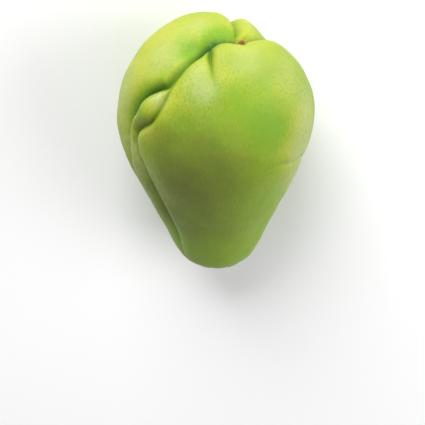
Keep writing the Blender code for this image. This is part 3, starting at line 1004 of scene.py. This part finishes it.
class Sculpture(Tree):
    """A Geometry Nodes tree under construction, with named inputs."""

    def __init__(self, name, inputs):
        super().__init__(bpy.data.node_groups.new(name, "GeometryNodeTree"))
        interface = self.nodes.interface
        interface.new_socket("Geometry", in_out="INPUT", socket_type="NodeSocketGeometry")
        interface.new_socket("Geometry", in_out="OUTPUT", socket_type="NodeSocketGeometry")
        for input_name, kind in inputs.items():
            interface.new_socket(input_name, in_out="INPUT", socket_type=kind)
        self.given = self.add("NodeGroupInput")

    def vector(self, x, y, z):
        return self.add("ShaderNodeCombineXYZ", inputs={"X": x, "Y": y, "Z": z})["Vector"]

    def coordinates(self):
        position = self.add("GeometryNodeInputPosition")["Position"]
        split = self.add("ShaderNodeSeparateXYZ", inputs={"Vector": position})
        return split["X"], split["Y"], split["Z"]

    def shape(self, geometry, position):
        inputs = {"Geometry": geometry, "Position": position}
        return self.add("GeometryNodeSetPosition", inputs=inputs)["Geometry"]

    def wave(self, operation, value):
        return self.add("ShaderNodeMath", {"operation": operation}, {0: value})["Value"]

    def random(self, low, high, shift):
        inputs = {"Min": low, "Max": high, "Seed": self.given["Seed"] + shift}
        return self.add("FunctionNodeRandomValue", {"data_type": "FLOAT"}, inputs)["Value"]

    def tagged(self, geometry, name, value):
        settings = {"data_type": "FLOAT", "domain": "POINT"}
        inputs = {"Geometry": geometry, "Name": name, "Value": value}
        return self.add("GeometryNodeStoreNamedAttribute", settings, inputs)["Geometry"]

    def ring_of(self, thing, count, radius, height, leans, seed):
        """Copies of a thing that points along +X, which stand out from a ring and lean."""
        ring = self.add("GeometryNodeMeshCircle", inputs={"Vertices": count, "Radius": radius})["Mesh"]
        x, y, z = self.coordinates()
        ring = self.shape(ring, self.vector(x, y, z + height))
        index = self.add("GeometryNodeInputIndex")["Index"]
        turn = (index + self.random(-PLACE_SPREAD, PLACE_SPREAD, seed)) * (2 * math.pi / count)
        roll = self.random(-ROLL_SPREAD, ROLL_SPREAD, seed + 1)
        inputs = {
            "Points": ring,
            "Instance": thing,
            "Rotation": self.vector(roll, self.random(*leans, seed + 2), turn),
            "Scale": self.random(*SIZES, seed + 3),
        }
        copies = self.add("GeometryNodeInstanceOnPoints", inputs=inputs)["Instances"]
        return self.add("GeometryNodeRealizeInstances", inputs={"Geometry": copies})["Geometry"]


def sepal_shape(tree):
    """A pointed sepal along +X from 0, which curls up."""
    given = tree.given
    ball = tree.add("GeometryNodeMeshUVSphere", inputs={"Segments": 12, "Rings": 10, "Radius": 1.0})["Mesh"]
    x, y, z = tree.coordinates()
    along = (x + 1) / 2
    ball = tree.tagged(ball, "tip", along)
    bend = along * given["Curl"]
    reach = tree.wave("SINE", bend) * given["Sepal length"]
    rise = (1 - tree.wave("COSINE", bend)) * given["Sepal length"] * SEPAL_RISE
    width = y * given["Sepal width"] * (SEPAL_FOOT - along * SEPAL_TAPER)
    cup = y * y * given["Sepal width"] * SEPAL_CUP
    return tree.shape(ball, tree.vector(reach, width, rise + cup + z * given["Sepal thickness"]))


def thread_shape(tree):
    """A bent, tapering thread along +X from 0."""
    given = tree.given
    inputs = {"Vertices": 7, "Side Segments": 8, "Radius Top": 0.5, "Radius Bottom": 1.0, "Depth": 1.0}
    rod = tree.add("GeometryNodeMeshCone", inputs=inputs)["Mesh"]
    x, y, z = tree.coordinates()
    rod = tree.tagged(rod, "tip", z * THREAD_PALENESS)
    sag = z * z * given["Thread length"] * THREAD_SAG
    radius = given["Thread radius"]
    return tree.shape(rod, tree.vector(z * given["Thread length"], x * radius, y * radius - sag))


def flower_tree(finish):
    """The dried flower, standing on z = 0 with +Z out of the fruit."""
    number, whole = "NodeSocketFloat", "NodeSocketInt"
    inputs = {
        "Sepals": whole, "Sepal length": number, "Sepal width": number, "Sepal thickness": number,
        "Curl": number, "Threads": whole, "Thread length": number, "Thread radius": number,
        "Stub radius": number, "Stub height": number, "Crumple": number, "Pinch": number, "Seed": whole,
    }
    tree = Sculpture("Dried flower", inputs)
    given = tree.given
    height, radius = given["Stub height"], given["Stub radius"]
    ring = radius * RING_RADIUS
    sepal, thread = sepal_shape(tree), thread_shape(tree)
    sepals = tree.ring_of(sepal, given["Sepals"], ring, height * SEPAL_LEVEL, SEPAL_LEANS, SEPAL_SEED)
    threads = tree.ring_of(thread, given["Threads"], ring, height * THREAD_LEVEL, THREAD_LEANS, THREAD_SEED)
    inputs = {
        "Vertices": 18, "Side Segments": 8, "Fill Segments": 2,
        "Radius Top": radius * STUB_TAPER, "Radius Bottom": radius, "Depth": height,
    }
    stub = tree.tagged(tree.add("GeometryNodeMeshCone", inputs=inputs)["Mesh"], "tip", 0.0)
    join = tree.nodes.nodes.new("GeometryNodeJoinGeometry")
    for part in (stub, sepals, threads):
        tree.nodes.links.new(part.socket, join.inputs[0])
    position = tree.add("GeometryNodeInputPosition")["Position"]
    inputs = {"Vector": position, "Scale": 1 / CRUMPLE_SIZE, "Detail": 2.0}
    inputs = {0: tree.add("ShaderNodeTexNoise", inputs=inputs)["Color"], 1: (0.5, 0.5, 0.5)}
    centred = tree.add("ShaderNodeVectorMath", {"operation": "SUBTRACT"}, inputs)["Vector"]
    inputs = {0: centred, "Scale": given["Crumple"] * 2}
    offset = tree.add("ShaderNodeVectorMath", {"operation": "SCALE"}, inputs)["Vector"]
    inputs = {"Geometry": Value(tree, join.outputs[0]), "Offset": offset}
    crumpled = tree.add("GeometryNodeSetPosition", inputs=inputs)["Geometry"]
    x, y, z = tree.coordinates()
    crumpled = tree.shape(crumpled, tree.vector(x * (1 + given["Pinch"]), y * (1 - given["Pinch"]), z))
    crumpled = tree.add("GeometryNodeSetShadeSmooth", inputs={"Geometry": crumpled})["Geometry"]
    real = tree.add("GeometryNodeRealizeInstances", inputs={"Geometry": crumpled})["Geometry"]
    done = tree.add("GeometryNodeSetMaterial", inputs={"Geometry": real, "Material": finish})["Geometry"]
    tree.add("NodeGroupOutput", inputs={"Geometry": done})
    return tree.nodes


class SQUASH_OT_make_dried_flower(bpy.types.Operator):
    """Makes the dried remnant of the flower and stands it in its scar"""

    bl_idname = "squash.make_dried_flower"
    bl_label = "Make dried flower"

    def execute(self, context):
        settings = context.scene.dried_flower
        finish = dried_finish(settings)
        blank = bpy.data.objects.new("blank", bpy.data.meshes.new("blank"))
        context.scene.collection.objects.link(blank)
        grow = blank.modifiers.new("Dried flower", "NODES")
        grow.node_group = flower_tree(finish)
        for item in grow.node_group.interface.items_tree:
            wanted = item.name.lower().replace(" ", "_")
            if item.in_out == "INPUT" and hasattr(settings, wanted):
                grow[item.identifier] = getattr(settings, wanted)
        mesh = bpy.data.meshes.new_from_object(blank.evaluated_get(context.evaluated_depsgraph_get()))
        bpy.data.objects.remove(blank)
        mesh.name = "dried_flower"
        mesh.transform(laid_down() @ scar_pose())
        flower = bpy.data.objects.new("dried_flower", mesh)
        context.scene.collection.objects.link(flower)
        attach(flower, BODY)
        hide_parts(FLOWER_NODE)
        return {"FINISHED"}


def seen_from(place, aim, up):
    """The matrix of a camera or lamp at a place that looks at aim with up upwards."""
    ahead = (aim - place).normalized()
    right = ahead.cross(up).normalized()
    turn = Matrix((right, right.cross(ahead), -ahead)).transposed().to_4x4()
    return Matrix.Translation(place) @ turn


class SQUASH_OT_make_stage(bpy.types.Operator):
    """Makes the floor, the lights and the camera"""

    bl_idname = "squash.make_stage"
    bl_label = "Make stage"

    def execute(self, context):
        settings = context.scene.squash_stage
        scene = context.scene
        scene.view_settings.view_transform = "Standard"
        self.make_floor(scene, settings)
        self.make_lights(scene, settings)
        self.make_camera(scene, settings)
        return {"FINISHED"}

    def make_floor(self, scene, settings):
        disc = bmesh.new()
        bmesh.ops.create_circle(disc, cap_ends=True, segments=FLOOR_SIDES, radius=settings.floor_radius)
        mesh = bpy.data.meshes.new("floor")
        disc.to_mesh(mesh)
        disc.free()
        mesh.materials.append(floor_finish(settings))
        floor = bpy.data.objects.new("floor", mesh)
        scene.collection.objects.link(floor)

    def make_lights(self, scene, settings):
        world = bpy.data.worlds.new("studio")
        world.use_nodes = True
        world.node_tree.nodes["Background"].inputs["Color"].default_value = (1, 1, 1, 1)
        world.node_tree.nodes["Background"].inputs["Strength"].default_value = settings.sky
        scene.world = world
        low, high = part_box(SKIN_NODE)
        middle = (low + high) / 2
        for name in ("key", "fill"):
            power, size, elevation, azimuth = (
                getattr(settings, f"{name}_{part}") for part in ("power", "size", "elevation", "azimuth")
            )
            lamp = bpy.data.lights.new(name, "AREA")
            lamp.size = size
            lamp.energy = power
            level = math.cos(elevation)
            way = Vector((-math.sin(azimuth) * level, math.cos(azimuth) * level, math.sin(elevation)))
            stand = bpy.data.objects.new(name, lamp)
            stand.matrix_world = seen_from(middle + way * settings.lamp_distance, middle, Vector((0, 0, 1)))
            scene.collection.objects.link(stand)

    def make_camera(self, scene, settings):
        lying = laid_down()
        elevation = settings.camera_elevation
        towards = lying.to_3x3() @ Vector((0, -math.cos(elevation), math.sin(elevation)))
        upward = lying.to_3x3() @ Vector((0, math.sin(elevation), math.cos(elevation)))
        rightward = lying.to_3x3() @ Vector((1, 0, 0))
        widest = lying.translation
        aim = widest + rightward * settings.camera_across - upward * settings.camera_below
        data = bpy.data.cameras.new("camera")
        data.lens = settings.lens
        data.clip_start = 0.01
        camera = bpy.data.objects.new("camera", data)
        camera.matrix_world = seen_from(widest + towards * settings.camera_distance, aim, upward)
        scene.collection.objects.link(camera)
        scene.camera = camera


class SQUASH_PT_panel(bpy.types.Panel):
    """Sizes, colours and makers of the squash"""

    bl_idname = "SQUASH_PT_panel"
    bl_label = "Chayote Squash"
    bl_space_type = "VIEW_3D"
    bl_region_type = "UI"
    bl_category = "Squash"

    def draw(self, context):
        for operator, name in (
            (SQUASH_OT_make_stage, "squash_stage"),
            (SQUASH_OT_make_skin, "squash_skin"),
            (SQUASH_OT_make_dried_flower, "dried_flower"),
        ):
            box = self.layout.box()
            box.operator(operator.bl_idname)
            settings = getattr(context.scene, name)
            for setting in settings.__annotations__:
                box.prop(settings, setting)


SETTINGS = {
    "squash_skin": SquashSkinSettings,
    "dried_flower": DriedFlowerSettings,
    "squash_stage": SquashStageSettings,
}
CLASSES = (
    *SETTINGS.values(),
    SQUASH_OT_make_stage,
    SQUASH_OT_make_skin,
    SQUASH_OT_make_dried_flower,
    SQUASH_PT_panel,
)


def register():
    for made in CLASSES:
        bpy.utils.register_class(made)
    for name, settings in SETTINGS.items():
        setattr(bpy.types.Scene, name, PointerProperty(type=settings))


def unregister():
    for name in SETTINGS:
        delattr(bpy.types.Scene, name)
    for made in reversed(CLASSES):
        bpy.utils.unregister_class(made)


def main():
    register()
    bpy.ops.squash.make_stage()
    bpy.ops.squash.make_skin()
    bpy.ops.squash.make_dried_flower()


if __name__ == "__main__":
    main()
